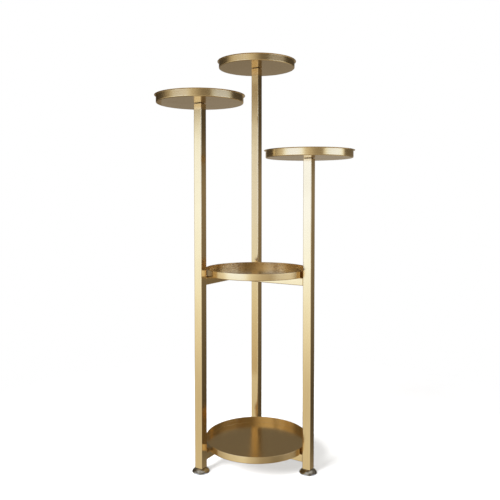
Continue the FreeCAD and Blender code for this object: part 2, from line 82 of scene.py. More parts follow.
# Length of the straights beside a tray's bends, and how far a stretch of its profile is paled at its start
# and end, as edge wear and a painted highlight.
BEND_STRAIGHT = 0.0003
NO_WEAR_AND_SHEEN = (0.0, 0.0)
FULL_WEAR_AND_SHEEN = (1.0, 1.0)
WEAR_AND_SHEEN_AT_START = (1.0, 0.0)

# Edges that turn by more than this are shaded sharp.
SHARP_DEG = 40.0

# Thickness of the studio floor, and the share of its radius where it starts to fade.
FLOOR_DEPTH = 0.002
FLOOR_FADE_SHARE = 0.35

# Directions that a piece's own +Z is turned to, as rotation matrices.
UP = np.eye(3)
DOWN = np.diag((1.0, -1.0, -1.0))
ALONG_X = np.array(((0.0, 0.0, 1.0), (0.0, 1.0, 0.0), (-1.0, 0.0, 0.0)))
ALONG_Y = np.array(((1.0, 0.0, 0.0), (0.0, 0.0, 1.0), (0.0, -1.0, 0.0)))
BACK_ALONG_X = np.array(((0.0, 0.0, -1.0), (1.0, 0.0, 0.0), (0.0, -1.0, 0.0)))
BACK_ALONG_Y = np.array(((1.0, 0.0, 0.0), (0.0, 0.0, -1.0), (0.0, 1.0, 0.0)))

# For each kind of bar, the axis that it runs along and the directions of the welds at its low and high end.
# A stem's low end is bolted.
BAR_WELDS = {
    "crossbar": (1, (ALONG_Y, BACK_ALONG_Y)),
    "stem": (0, (None, BACK_ALONG_X)),
}

# Brush lines to the metre: across a tube, along it, and up a tray's profile.
ACROSS_LINES = 1600.0
ALONG_LINES = 7.0
TRAY_LINES = 450.0

# For each gold finish, the coordinates that its brush lines follow, the lines to the metre along each of
# them, and its roughness without lines and clouds.
GOLD_FINISHES = {
    "gold_tube": ("UV", (ACROSS_LINES, ALONG_LINES, 0.0), 0.14),
    "gold_tray": ("UV", (0.0, TRAY_LINES, 0.0), 0.19),
    "gold_shelf": ("UV", (0.0, TRAY_LINES, 0.0), 0.20),
    "gold_crossbar": ("Object", (ACROSS_LINES, ALONG_LINES, ACROSS_LINES), 0.14),
    "gold_stem": ("Object", (ALONG_LINES, ACROSS_LINES, ACROSS_LINES), 0.14),
}

# Cloudy patterns of the finishes, as clouds to the metre and detail.
COAT_CLOUDS = (14.0, 3.0)
# Clouds that set how much the edges are paled, as edge wear and a painted highlight.
COAT_WEAR_AND_SHEEN_CLOUDS = (45.0, 4.0)
COAT_PEEL = (700.0, 1.0)
COAT_FLAKES = (2600.0, 1.0)
CHROME_MARKS = (160.0, 4.0)
ZINC_CLOUDS = (220.0, 4.0)
ZINC_GRAIN = (5000.0, 2.0)
PAD_SCUFFS = (130.0, 5.0)
PAD_TEXTURE = (2400.0, 2.0)

# Detail of the brush lines and of the turning lines on chrome, and how many of those go to the metre.
COAT_LINE_DETAIL = 3.0
CHROME_LINE_DETAIL = 2.0
CHROME_LINES = 4000.0

# A band of values, from low to high, and what its ends are taken to.
Band = namedtuple("Band", "low high start end", defaults=(0.0, 1.0))

# The share of a colour that a pattern brings in.
CLOUD_SHARE = Band(0.3, 0.75, 0.0, 0.25)
LINE_SHARE = Band(0.35, 0.7, 0.0, 0.5)
FLAKE_SHARE = Band(0.55, 0.8, 0.0, 0.10)
# How much the edges are paled, as edge wear and a painted highlight.
WEAR_AND_SHEEN_SHARE = Band(0.3, 0.7, 0.10, 0.30)
MARK_SHARE = Band(0.45, 0.7)
STAIN_SHARE = Band(0.45, 0.75, 0.0, 0.6)
SCUFF_SHARE = Band(0.52, 0.72, 0.0, 0.5)

# Roughness: what lines and clouds change on the coat, clean chrome and what marks add to it, zinc and pads.
LINE_ROUGHNESS = Band(0.2, 0.8, 0.0, 0.03)
CLOUD_ROUGHNESS = Band(0.3, 0.7, -0.015, 0.015)
CHROME_ROUGHNESS = 0.10
MARK_ROUGHNESS = 0.16
ZINC_ROUGHNESS = Band(0.3, 0.7, 0.28, 0.46)
PAD_ROUGHNESS = Band(0.3, 0.7, 0.5, 0.7)

# Depths of the finishes' relief in metres, and the shares of brush lines and peel in the coat's.
COAT_DEPTH = 0.0000005
CHROME_DEPTH = 0.000002
ZINC_DEPTH = 0.00001
PAD_DEPTH = 0.00004
LINE_RELIEF = 0.3
PEEL_RELIEF = 0.7

# The room as the metal sees it: the brightness of its walls against the sine of the height.
ROOM_LEVELS = (
    (-1.0, 0.12), (-0.40, 0.14), (-0.33, 0.06), (-0.17, 0.08), (0.02, 0.10), (0.09, 0.07), (0.23, 0.07),
    (0.38, 0.20), (0.70, 0.22), (0.88, 0.80), (1.0, 1.00),
)

# A soft light of the room: its heading from +X, the angles from that where it is full and where it ends, all
# in degrees, and its brightness against the sine of the height.
RoomLight = namedtuple("RoomLight", "heading full end levels")
ROOM_LIGHTS = (
    # The main light, in front on the left.
    RoomLight(-105.0, 4.0, 32.0, (
        (-0.70, 0.0), (-0.39, 0.55), (-0.33, 0.35), (-0.26, 0.9), (-0.17, 2.5), (-0.10, 5.5), (-0.03, 8.0),
        (0.115, 8.0), (0.135, 1.0), (0.155, 0.0),
    )),
    # A dim one all round it.
    RoomLight(-105.0, 10.0, 60.0, (
        (-0.70, 0.3), (-0.39, 0.75), (-0.30, 0.55), (-0.17, 0.7), (0.0, 1.3), (0.07, 1.6), (0.11, 0.25),
        (0.16, 0.10), (0.19, 0.7), (0.25, 1.0), (0.45, 1.0), (1.0, 0.0),
    )),
    # The second bright light, on the right.
    RoomLight(5.0, 6.0, 35.0, (
        (-0.70, 0.1), (-0.40, 0.15), (-0.13, 1.1), (-0.07, 1.6), (-0.03, 8.0), (0.14, 8.0), (0.165, 0.1),
        (0.23, 0.25), (0.6, 0.0),
    )),
    # On the left.
    RoomLight(-148.0, 5.0, 30.0, (
        (-0.70, 0.1), (-0.40, 0.2), (-0.27, 0.5), (-0.13, 1.1), (0.0, 0.5), (0.08, 0.50), (0.12, 0.10),
        (0.22, 0.02), (0.6, 0.0),
    )),
    # Behind on the left.
    RoomLight(178.0, 8.0, 24.0, (
        (-0.32, 0.0), (-0.16, 0.34), (-0.09, 0.34), (0.02, 0.0),
    )),
    # Round the camera.
    RoomLight(-63.0, 20.0, 50.0, (
        (-0.70, 0.2), (-0.41, 0.30), (-0.13, 0.95), (0.0, 0.40), (0.08, 0.25), (0.13, 0.50), (0.19, 0.08),
        (0.35, 0.08), (0.6, 0.0),
    )),
    # Behind on the right.
    RoomLight(59.0, 30.0, 65.0, (
        (-0.70, 0.6), (-0.44, 0.55), (-0.415, 0.08), (-0.39, 0.0), (-0.33, 0.02), (-0.17, 0.12),
        (-0.07, 0.18), (0.03, 0.24), (0.09, 0.05), (0.13, 0.01), (0.3, 0.0),
    )),
    # Straight behind.
    RoomLight(121.0, 14.0, 30.0, (
        (-0.70, 0.1), (-0.40, 0.10), (-0.21, 0.20), (-0.06, 0.38), (0.1, 0.3), (0.3, 0.0),
    )),
)

# The brightest level of any light, which stands for one on a ramp.
LEVEL_SCALE = 8.0

# How fast red, green and blue fill with the level of the light, and the share of each that the gold coat
# gives back: dim light is warm and bright light turns pale.
ROOM_RATES = (0.80, 0.525, 0.21)
ROOM_SPANS = (0.772, 0.589, 0.30)

WHITE = (1.0, 1.0, 1.0, 1.0)

# Numbers of a Mix node's colour sockets, because others have the same names.
MIX_FIRST = 6
MIX_SECOND = 7
MIX_OUTPUT = 2

# A node's box: its lowest and highest corner, its middle, the middle of its lower face, half its width along
# X and its height.
Box = namedtuple("Box", "low high middle foot half height")

# A stretch of surface: points, four- and three-sided faces, the texture places of their corners, and how far
# the finish is paled at each point, as edge wear and a painted highlight.
Shell = namedtuple("Shell", "points quads triangles quad_uv triangle_uv worn")


def setting(kind, **fixed):
    """A maker of properties of one kind that a user may change."""
    def made(name, default, description):
        return kind(name=name, default=default, description=description, **fixed)
    return made


# Kinds of properties: sizes and places in metres, turns, shares, colours, powers, a lens and plain numbers.
length = setting(FloatProperty, min=0.0, unit="LENGTH", precision=5)
spot = setting(FloatVectorProperty, subtype="TRANSLATION")
bearing = setting(FloatProperty, subtype="ANGLE")
share = setting(FloatProperty, min=0.0, max=1.0, subtype="FACTOR")
colour = setting(FloatVectorProperty, min=0.0, max=1.0, subtype="COLOR")
watts = setting(FloatProperty, min=0.0, unit="POWER")
focal_length = setting(FloatProperty, subtype="DISTANCE_CAMERA")
number = setting(FloatProperty)


class StandSizes(bpy.types.PropertyGroup):
    """Small sizes that the frame's boxes don't give."""
    tube_wall: length("Tube wall", 0.0012, "Wall of the square tube")
    tube_corner: length("Tube corner", 0.0016, "Outside corner radius of the square tube")
    tube_end: length("Tube end", 0.0003, "Chamfer at a tube's sawn end")
    # Over this strip beside a tube's corner the paled edge, edge wear and a painted highlight, fades out.
    rubbed_strip: length("Rubbed strip", 0.0012, "Width of the rubbed strip beside a tube's corner")
    weld_leg: length("Weld", 0.0022, "Reach of a weld along the bar and up the post")
    weld_proud: length("Weld hump", 0.0001, "Height of the hump over a weld's seam")
    weld_ripple: length("Weld ripple", 0.0011, "Spacing of the ripples along a weld")
    tray_sheet: length("Tray sheet", 0.0010, "Sheet of the top trays")
    tray_bend: length("Tray bend", 0.0010, "Inside radius between a top tray's floor and wall")
    lip_width: length("Lip", 0.0040, "Reach of a top tray's lip past its wall")
    lip_bend: length("Lip bend", 0.0012, "Radius of the bend under a top tray's lip")
    tray_washer_bore: length("Tray washer", 0.0082, "Bore of the washers between posts and top trays")
    shelf_sheet: length("Shelf sheet", 0.0012, "Sheet of the shelf trays")
    shelf_bend: length("Shelf bend", 0.0004, "Inside radius between a shelf's floor and rim")
    skirt_wall: length("Skirt wall", 0.0017, "Foot dome, wall around the pad")
    skirt_height: length("Skirt height", 0.0015, "Foot dome, upright edge")
    hub_radius: length("Hub", 0.0090, "Foot dome, flat top under the post")
    dome_crown: length("Crown", 0.0180, "Foot dome, radius of its crown")
    dome_edge: length("Dome edge", 0.0003, "Foot dome, rounding of its edges")
    pad_height: length("Pad", 0.0032, "Glide pad, height without its pin")
    pad_chamfer: length("Pad chamfer", 0.0006, "Glide pad, lower edge")
    pad_gap: length("Pad gap", 0.00005, "Clearance between the glide pad and the dome that turns on it")
    pin_gap: length("Pin gap", 0.00006, "Running clearance round the glide pad's pin")
    pin_radius: length("Pin", 0.0030, "Glide pad, pin that the dome turns on")
    pin_end_gap: length("Pin end gap", 0.0003, "Clearance above the glide pad's pin")
    thread_gap: length("Thread gap", 0.00008, "Clearance of a thread in its hole")
    thread_tip: length("Thread tip", 0.0008, "Chamfer at a thread's end")
    foot_pitch: length("Foot pitch", 0.00125, "Pitch of the foot's thread")
    shelf_stud_radius: length("Shelf stud", 0.0025, "Thread radius of a shelf stud")
    shelf_pitch: length("Shelf stud pitch", 0.0008, "Pitch of a shelf stud's thread")
    nut_across: length("Nut", 0.0080, "Shelf nut across its flats")
    nut_height: length("Nut height", 0.0050, "Shelf nut with its flange")
    nut_flange: length("Nut flange", 0.0012, "Shelf nut, flange thickness")
    nut_flange_radius: length("Nut flange radius", 0.0058, "Shelf nut, flange radius")
    bolt_radius: length("Bolt", 0.0030, "Joint bolt, thread radius")
    bolt_pitch: length("Bolt pitch", 0.0010, "Pitch of a joint bolt's thread")
    bolt_gap: length("Bolt gap", 0.00025, "Clearance of a joint bolt in its washer")
    head_radius: length("Bolt head radius", 0.0055, "Joint bolt, radius of its head")
    head_height: length("Bolt head", 0.0033, "Joint bolt, height of its head")
    head_round: length("Bolt head edge", 0.0020, "Joint bolt, radius at the head's edge")
    socket_across: length("Socket", 0.0040, "Joint bolt, hex socket across its flats")
    socket_depth: length("Socket depth", 0.0020, "Joint bolt, hex socket depth")
    small_edge: length("Small edge", 0.0002, "Rounding on the edges of pads and small fasteners")


class StandColours(bpy.types.PropertyGroup):
    """Colours of the finishes."""
    gold: colour("Gold", (0.78, 0.58, 0.30), "Metallic coat of tubes, trays and shelves")
    # The pale coat of the flakes, and of the edges as edge wear and a painted highlight.
    gold_rubbed: colour("Rubbed gold", (0.88, 0.70, 0.44), "Coat along rubbed edges")
    gold_deep: colour("Deep gold", (0.69, 0.50, 0.24), "Darker clouds in the coat")
    chrome: colour("Chrome", (0.51, 0.49, 0.46), "Plate on the feet")
    chrome_dull: colour("Dull chrome", (0.26, 0.25, 0.235), "Handled parts of the plate")
    zinc: colour("Zinc", (0.58, 0.55, 0.49), "Plate on screws and inserts")
    zinc_stain: colour("Zinc stain", (0.62, 0.54, 0.36), "Yellow clouds in the zinc plate")
    pad: colour("Pad", (0.016, 0.016, 0.017), "Glide pads and tray washers")
    pad_scuff: colour("Pad scuff", (0.06, 0.058, 0.055), "Scuffed parts of pads and tray washers")
    floor: colour("Floor", (0.86, 0.86, 0.86), "Studio floor")
    scrim: colour("Scrim", (0.87, 0.82, 0.735), "What each side of the scrim lets through")


class StandStage(bpy.types.PropertyGroup):
    """The studio: camera, lights and surroundings."""
    camera: spot("Camera", (0.7630, -1.3252, 0.6857), "Place of the camera")
    heading: bearing("Heading", math.radians(31.677), "Turn of the camera from looking along +Y")
    tilt: bearing("Tilt", math.radians(2.184), "Downward tilt of the camera")
    lens: focal_length("Lens", 42.997, "Focal length in millimetres")
    shift: number("Shift", -0.0586, "Upright shift of the lens, as a share of the frame")
    light_aim: spot("Light aim", (0.0, 0.0, 0.1), "Place that both lights point at")
    key_place: spot("Key light", (-0.55, -1.95, 1.4), "Place of the key light, in front on the left")
    key_size: length("Key light size", 1.0, "Width of the key light")
    key_power: watts("Key light power", 240.0, "Power of the key light")
    top_place: spot("Top light", (0.0, 0.0, 2.6), "Place of the overhead light")
    top_size: length("Top light size", 2.4, "Width of the overhead light")
    top_power: watts("Top light power", 25.0, "Power of the overhead light")
    floor_radius: length("Floor", 1.1, "Radius of the floor, which fades out to its edge")
    floor_veil: share("Floor veil", 0.75, "Share of the white background that shows through the floor")
    scrim_foot: spot("Scrim", (-0.285, -0.157, 0.1), "Foot of the scrim, left of the stand")
    scrim_radius: length("Scrim radius", 0.05, "Radius of the scrim")
    scrim_height: length("Scrim height", 0.96, "Height of the scrim")


def grid_quads(rows, columns, wrap):
    """Corner numbers of a grid's quads. Columns close on themselves, and rows do where wrap is set."""
    row, column = np.meshgrid(np.arange(rows if wrap else rows - 1), np.arange(columns), indexing="ij")
    below, beside = (row + 1) % rows, (column + 1) % columns
    corners = ((row, column), (row, beside), (below, beside), (below, column))
    return np.stack([r * columns + c for r, c in corners], axis=-1).reshape(-1, 4)


def signed_volume(points, faces):
    """Volume inside faces that point outwards: a sixth of the triple products of their fans of triangles."""
    a, total = points[faces[:, 0]], 0.0
    for second in range(1, faces.shape[1] - 1):
        b, c = points[faces[:, second]], points[faces[:, second + 1]]
        total += np.einsum("ij,ij->", a, np.cross(b, c)) / 6.0
    return total


def fan(points, pole, ring, first, u, v):
    """Triangles and texture places of the fan that closes a row of a grid at its pole."""
    columns = len(u) - 1
    here = ring + np.arange(columns)
    beside = ring + (np.arange(columns) + 1) % columns
    reach = np.linalg.norm(np.asarray(pole) - points[ring])
    near, far = (here, u[:-1]), (beside, u[1:])
    pair = (far, near) if first else (near, far)
    corners = np.stack((np.full(columns, len(points)), pair[0][0], pair[1][0]), axis=-1)
    tip = np.full(columns, v - reach if first else v + reach)
    sides = [np.stack((side[1], np.full(columns, v)), axis=-1) for side in pair]
    return corners, np.stack((np.stack((u[:-1], tip), axis=-1), *sides), axis=1)


def shell(points, u, v, wrap=False, poles=(None, None), worn=0.0):
    """A closed surface through a grid of points (rows, columns, 3) whose columns close on themselves.

    u and v are the texture places of the columns and rows, with one entry more than the grid where it closes.
    A pole closes the first or last row with a fan of triangles. Faces are turned to make the volume positive.
    """
    rows, columns = points.shape[:2]
    quads = grid_quads(rows, columns, wrap)
    row, column = np.divmod(np.arange(len(quads)), columns)
    places = ((column, row), (column + 1, row), (column + 1, row + 1), (column, row + 1))
    quad_uv = np.stack([np.stack((u[c], v[r]), axis=-1) for c, r in places], axis=1)
    worn = np.broadcast_to(worn, (rows, columns)).ravel()
    points = points.reshape(-1, 3)
    fans = [(np.zeros((0, 3), int), np.zeros((0, 3, 2)))]
    for pole, ring, first in ((poles[0], 0, True), (poles[1], rows - 1, False)):
        if pole is not None:
            fans.append(fan(points, pole, ring * columns, first, u, v[ring]))
            points = np.vstack((points, pole))
            worn = np.append(worn, 0.0)
    triangles, triangle_uv = (np.concatenate(part) for part in zip(*fans))
    if signed_volume(points, quads) + signed_volume(points, triangles) < 0.0:
        quads, quad_uv = quads[:, ::-1], quad_uv[:, ::-1]
        triangles, triangle_uv = triangles[:, ::-1], triangle_uv[:, ::-1]
    return Shell(points, quads, triangles, quad_uv, triangle_uv, worn)


def placed(piece, place, direction=UP):
    """A shell turned to a direction and moved to its place."""
    return piece._replace(points=piece.points @ direction.T + np.asarray(place))


def mesh_object(name, shells, material):
    """A mesh object of one or more shells, smooth but for its sharp edges."""
    starts = np.cumsum([0] + [len(part.points) for part in shells])
    quads = np.vstack([part.quads + start for part, start in zip(shells, starts)])
    triangles = np.vstack([part.triangles + start for part, start in zip(shells, starts)])
    mesh = bpy.data.meshes.new(name)
    mesh.from_pydata(np.vstack([part.points for part in shells]), [], quads.tolist() + triangles.tolist())
    places = [part.quad_uv.reshape(-1, 2) for part in shells]
    places += [part.triangle_uv.reshape(-1, 2) for part in shells]
    layer = mesh.uv_layers.new(name="surface")
    layer.data.foreach_set("uv", np.vstack(places).astype(np.float32).ravel())
    # How far the coat is paled at each point, as edge wear and a painted highlight.
    worn = mesh.attributes.new("worn", "FLOAT", "POINT")
    worn.data.foreach_set("value", np.concatenate([part.worn for part in shells]).astype(np.float32))
    mesh.shade_smooth()
    mesh.set_sharp_from_angle(angle=math.radians(SHARP_DEG))
    mesh.materials.append(material)
    piece = bpy.data.objects.new(name, mesh)
    bpy.context.scene.collection.objects.link(piece)
    return piece


def dress(name, node, body, slot, material, *shells):
    """Makes a piece that stands for a node and moves with its body."""
    piece = mesh_object(name, shells, material)
    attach(piece, body)
    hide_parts(node)


def coat_nodes(names, material):
    """Gives nodes of the frame whose shapes stay a finish of their own."""
    for name in names:
        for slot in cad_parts[name].material_slots:
            slot.material = material


def box_of(node):
    """The box of a node at rest."""
    low, high = (np.array(corner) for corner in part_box(node))
    middle = (low + high) / 2.0
    foot = np.array((*middle[:2], low[2]))
    return Box(low, high, middle, foot, (high[0] - low[0]) / 2.0, high[2] - low[2])


def arc(middle, radius, start, end, steps=ARC_STEPS):
    """Points of an arc: its middle plus its radius times the cosine and sine of even steps, in degrees."""
    turn = np.radians(np.linspace(start, end, steps))
    return np.column_stack((middle[0] + radius * np.cos(turn), middle[1] + radius * np.sin(turn)))


def travelled(points):
    """Distance along a row of points, from nought."""
    return np.append(0.0, np.cumsum(np.linalg.norm(np.diff(points, axis=0), axis=1)))


def around(radius, height):
    """Points of rings: x and y are the radius (rows, steps) times the cosine and sine of the angle."""
    angle = np.linspace(0.0, 2.0 * math.pi, radius.shape[1], endpoint=False)
    height = np.broadcast_to(np.asarray(height, float)[:, None], radius.shape)
    return np.stack((radius * np.cos(angle), radius * np.sin(angle), height), axis=-1)


def rings(radius, height, wrap=False, poles=(None, None), worn=0.0):
    """A closed surface through rings whose radius may change with the angle."""
    points = around(radius, height)
    u = np.linspace(0.0, 1.0, radius.shape[1] + 1)
    v = travelled(np.vstack((points[:, 0], points[:1, 0])))
    return shell(points, u, v, wrap, poles, worn)


def turned(profile, steps=ROUND_STEPS, wrap=False, worn=None):
    """A profile of radius and height carried round the Z axis, with a pole where it ends on the axis."""
    profile = np.asarray(profile, float)
    worn = np.zeros(len(profile)) if worn is None else np.asarray(worn, float)
    ends = [None if wrap or r > 0.0 else (0.0, 0.0, z) for r, z in (profile[0], profile[-1])]
    kept = slice(0 if ends[0] is None else 1, None if ends[1] is None else -1)
    radius = np.broadcast_to(profile[kept, :1], (len(profile[kept]), steps))
    return rings(radius, profile[kept, 1], wrap, ends, worn[kept, None])


def drum(radius, low, high):
    """A plain upright cylinder: out along its bottom, up its side and in along its top."""
    return turned([(0.0, low), (radius, low), (radius, high), (0.0, high)])


def hexagon(across):
    """Radius of a hexagon at even angles: half its width over the cosine of the angle from mid flat."""
    angle = np.linspace(0.0, 360.0, SMALL_ROUND_STEPS, endpoint=False)
    return across / 2.0 / np.cos(np.radians(angle % 60.0 - 30.0))


def circle(radius):
    """The same radius at every angle."""
    return np.full(SMALL_ROUND_STEPS, radius)


def thread(radius, pitch, start, end, tip):
    """Radius rows and heights of a screw thread from a plain start to a chamfered end.

    The radius falls from the crest by a triangle wave of the height over the pitch less the share of the
    turn, and near the end it is held inside a cone.
    """
    rows = int(round((end - start) / pitch * THREAD_ROWS)) + 1
    height = np.linspace(start, end, rows)
    turn = np.linspace(0.0, 1.0, SMALL_ROUND_STEPS, endpoint=False)
    wave = np.abs(2.0 * ((height[:, None] / pitch - turn) % 1.0) - 1.0)
    cone = radius - tip + (end - height)[:, None]
    return np.minimum(radius - THREAD_DEPTH_SHARE * pitch * wave, cone), height


def threaded_stud(radius, pitch, span, tip):
    """A stud along +Z with a thread over its whole length."""
    radii, heights = thread(radius, pitch, 0.0, span, tip)
    return rings(radii, heights, poles=((0.0, 0.0, 0.0), (0.0, 0.0, span)))


def square_ring(half, corner, strip, flat_steps=2):
    """Points round a square with rounded corners, their outward directions, and one at the corners.

    Each corner is an arc, and the points of each flat start and end a strip's width from its corners.
    """
    flat = half - corner
    turns = np.linspace(0.0, math.pi / 2.0, ARC_STEPS)
    lanes = np.linspace(strip - flat, flat - strip, flat_steps)
    middles, outward, corners = [], [], []
    for quarter in range(4):
        turn = quarter * math.pi / 2.0
        facing = np.array((math.cos(turn), math.sin(turn)))
        along = np.array((-math.sin(turn), math.cos(turn)))
        rounded = np.outer(np.cos(turns), facing) + np.outer(np.sin(turns), along)
        middles += [facing * flat + along * lanes[:, None], np.tile((facing + along) * flat, (ARC_STEPS, 1))]
        outward += [np.tile(facing, (flat_steps, 1)), rounded]
        corners += [np.zeros(flat_steps), np.ones(ARC_STEPS)]
    middles, outward = np.vstack(middles), np.vstack(outward)
    return middles + corner * outward, outward, np.concatenate(corners)


def carried(ring, outward, rise, along, worn):
    """A section of rise and distance along +Z carried round a ring; rise is (section points, ring points)."""
    flat = ring[None] + rise[..., None] * outward[None]
    height = np.broadcast_to(along[:, None, None], flat.shape[:2] + (1,))
    points = np.concatenate((flat, height), axis=-1)
    u = travelled(np.vstack((ring, ring[:1])))
    return shell(points, u, np.append(along, along[0]), wrap=True, worn=worn)


def tube(half, span, sizes):
    """A square tube along +Z: the section of its wall carried round a square with rounded corners."""
    ring, outward, corners = square_ring(half, sizes.tube_corner, sizes.rubbed_strip)
    end, wall = sizes.tube_end, sizes.tube_wall
    inset = np.array((0.0, 0.0, end, wall, wall, end))
    along = np.array((end, span - end, span, span, 0.0, 0.0))
    rise = np.broadcast_to(-inset[:, None], (len(inset), len(ring)))
    # The rounded corners are paled, as edge wear and a painted highlight.
    return carried(ring, outward, rise, along, corners[None])


def weld(half, sizes):
    """A weld round the end of a bar that stands on a post's face at z = 0, along +Z.

    It is a hollow fillet, whose height is the leg less the root of the leg squared less the square of the
    distance from its toe, with a low hump over the seam. On the bar's sides the fillet is ground lower.
    """
    ring, outward, corners = square_ring(half, sizes.tube_corner, sizes.rubbed_strip, WELD_STEPS)
    leg, sunk = sizes.weld_leg, sizes.tube_wall / 2.0
    along = np.linspace(-leg, leg, WELD_ROWS)
    toe = np.clip(leg - along, 0.0, leg)
    fillet = leg - np.sqrt(leg ** 2 - toe ** 2)
    hump = sizes.weld_proud * np.cos(along / leg * math.pi / 2.0)
    ground = GROUND_SHARE + (1.0 - GROUND_SHARE) * outward[:, 1] ** 2
    ripple = 1.0 + RIPPLE_SHARE * np.sin(travelled(ring) / sizes.weld_ripple * 2.0 * math.pi)
    rise = fillet[:, None] * (ground * ripple)[None] + hump[:, None]
    under = np.full((2, len(ring)), -sunk)
    rise, along = np.vstack((rise, under)), np.append(along, (leg, -leg))
    # The weld's corners are partly paled, as edge wear and a painted highlight.
    return carried(ring, outward, rise, along, WELD_WEAR_AND_SHEEN_SHARE * corners[None])


def floor_rings(radius, height):
    """Profile points across a flat floor, from the axis out."""
    reach = np.linspace(0.0, radius, FLOOR_RINGS, endpoint=False)
    return np.column_stack((reach, np.full(FLOOR_RINGS, height)))


def bend(middle, radius, start, end, steps=ARC_STEPS):
    """An arc with a short straight at each end along its tangent, so that the flats beside it look flat."""
    points = arc(middle, radius, start, end, steps)
    turns = np.radians((start, end))
    tangents = np.column_stack((-np.sin(turns), np.cos(turns))) * math.copysign(BEND_STRAIGHT, end - start)
    return np.vstack((points[0] - tangents[0], points, points[-1] + tangents[1]))


def sheet_tray(wall, inside, sheet, rim):
    """A turned tray of sheet: floor, rounded base, rim, and back along the inside of the base and floor.

    The rim comes in stretches, each with how far it is paled at its start and end, as edge wear and a
    painted highlight.
    """
    base = inside + sheet
    corner = (wall - base, base)
    stretches = (
        (floor_rings(corner[0], 0.0), NO_WEAR_AND_SHEEN),
        (bend(corner, base, -90.0, 0.0), NO_WEAR_AND_SHEEN),
        *rim,
        (bend(corner, inside, 0.0, -90.0), NO_WEAR_AND_SHEEN),
        (floor_rings(corner[0], sheet)[::-1], NO_WEAR_AND_SHEEN),
    )
    # The lip and rim edges are paled, as edge wear and a painted highlight.
    worn = [np.linspace(*end_wear_and_sheen, len(part)) for part, end_wear_and_sheen in stretches]
    return turned(np.vstack([part for part, _ in stretches]), worn=np.concatenate(worn))


def top_tray(radius, height, sizes):
    """A spun tray whose wall ends in a lip bent outwards, over two arcs round one middle."""
    sheet, under = sizes.tray_sheet, sizes.lip_bend
    wall, edge = radius - sizes.lip_width, sheet / 2.0
    lip = (wall + under, height - sheet - under)
    return sheet_tray(wall, sizes.tray_bend, sheet, (
        (bend(lip, under, 180.0, 90.0, LONG_ARC_STEPS), NO_WEAR_AND_SHEEN),
        (bend((radius - edge, height - edge), edge, -90.0, 90.0), FULL_WEAR_AND_SHEEN),
        (bend(lip, under + sheet, 90.0, 180.0, LONG_ARC_STEPS), WEAR_AND_SHEEN_AT_START),
    ))


def shelf_tray(radius, height, sizes):
    """A pressed tray with a plain upright rim, whose edge is round."""
    edge = sizes.shelf_sheet / 2.0
    return sheet_tray(radius, sizes.shelf_bend, sizes.shelf_sheet, (
        (bend((radius - edge, height - edge), edge, 0.0, 180.0, LONG_ARC_STEPS), FULL_WEAR_AND_SHEEN),
    ))


def foot_dome(dome, pad, stud, sizes):
    """A domed foot: a crown between its skirt and hub, a recess for pad and pin, and a hole for the stud.

    The crown is the arc of its radius through the top of the skirt and the edge of the hub.
    """
    low, high, radius = dome.low[2], dome.high[2], dome.half
    edge, bore, hole = sizes.dome_edge, radius - sizes.skirt_wall, stud.half + sizes.thread_gap
    roof = pad.low[2] + sizes.pad_height + sizes.pad_gap
    pin, ceiling = sizes.pin_radius + sizes.pin_gap, pad.high[2] + sizes.pin_end_gap
    start, end = np.array((radius, low + sizes.skirt_height)), np.array((sizes.hub_radius, high))
    half = (end - start) / 2.0
    across = np.array((-half[1], half[0])) / np.linalg.norm(half)
    middle = (start + end) / 2.0 + across * math.sqrt(sizes.dome_crown ** 2 - half @ half)
    turns = [math.degrees(math.atan2(*(point - middle)[::-1])) for point in (start, end)]
    return turned(np.vstack((
        [(0.0, ceiling), (pin, ceiling), (pin, roof), (bore, roof)],
        arc((bore + edge, low + edge), edge, 180.0, 270.0),
        arc((radius - edge, low + edge), edge, -90.0, 0.0),
        arc(middle, sizes.dome_crown, *turns, CROWN_STEPS),
        arc((hole + edge, high - edge), edge, 90.0, 180.0),
        [(hole, stud.low[2]), (0.0, stud.low[2])],
    )), steps=FOOT_ROUND_STEPS)


def foot_pad(pad, sizes):
    """A glide pad: a chamfered disc with a pin on it."""
    low, high, radius = pad.low[2], pad.high[2], pad.half
    top, edge = low + sizes.pad_height, sizes.small_edge
    chamfer, pin = sizes.pad_chamfer, sizes.pin_radius
    return turned(np.vstack((
        [(0.0, low), (radius - chamfer, low), (radius, low + chamfer)],
        arc((radius - edge, top - edge), edge, 0.0, 90.0),
        [(pin, top)],
        arc((pin - edge, high - edge), edge, 0.0, 90.0),
        [(0.0, high)],
    )), steps=FOOT_ROUND_STEPS)


def flange_nut(sizes):
    """A hex nut along +Z on a round flange.

    The flange's rings are circles. Above it the radius is the smaller of a hexagon's and a cone's.
    """
    edge, height, flange = sizes.small_edge, sizes.nut_height, sizes.nut_flange
    hole, rim = sizes.shelf_stud_radius + sizes.thread_gap, sizes.nut_flange_radius
    flats = hexagon(sizes.nut_across)
    corner = flats.max()
    cut = corner - sizes.nut_across / 2.0
    rows = [
        (circle(hole + edge), 0.0),
        (circle(rim - edge), 0.0),
        (circle(rim), edge),
        (circle(rim), flange - 2.0 * edge),
        (circle(rim - 2.0 * edge), flange),
        (np.minimum(flats, rim - 3.0 * edge), flange),
        (flats, flange + edge),
        (flats, height - cut),
    ]
    for step in np.linspace(0.0, 1.0, ARC_STEPS)[1:]:
        rows.append((np.minimum(flats, corner - cut * step), height - cut * (1.0 - step)))
    rows += [(circle(hole + edge), height), (circle(hole), height - edge), (circle(hole), edge)]
    radii, heights = zip(*rows)
    return rings(np.array(radii), heights, wrap=True)


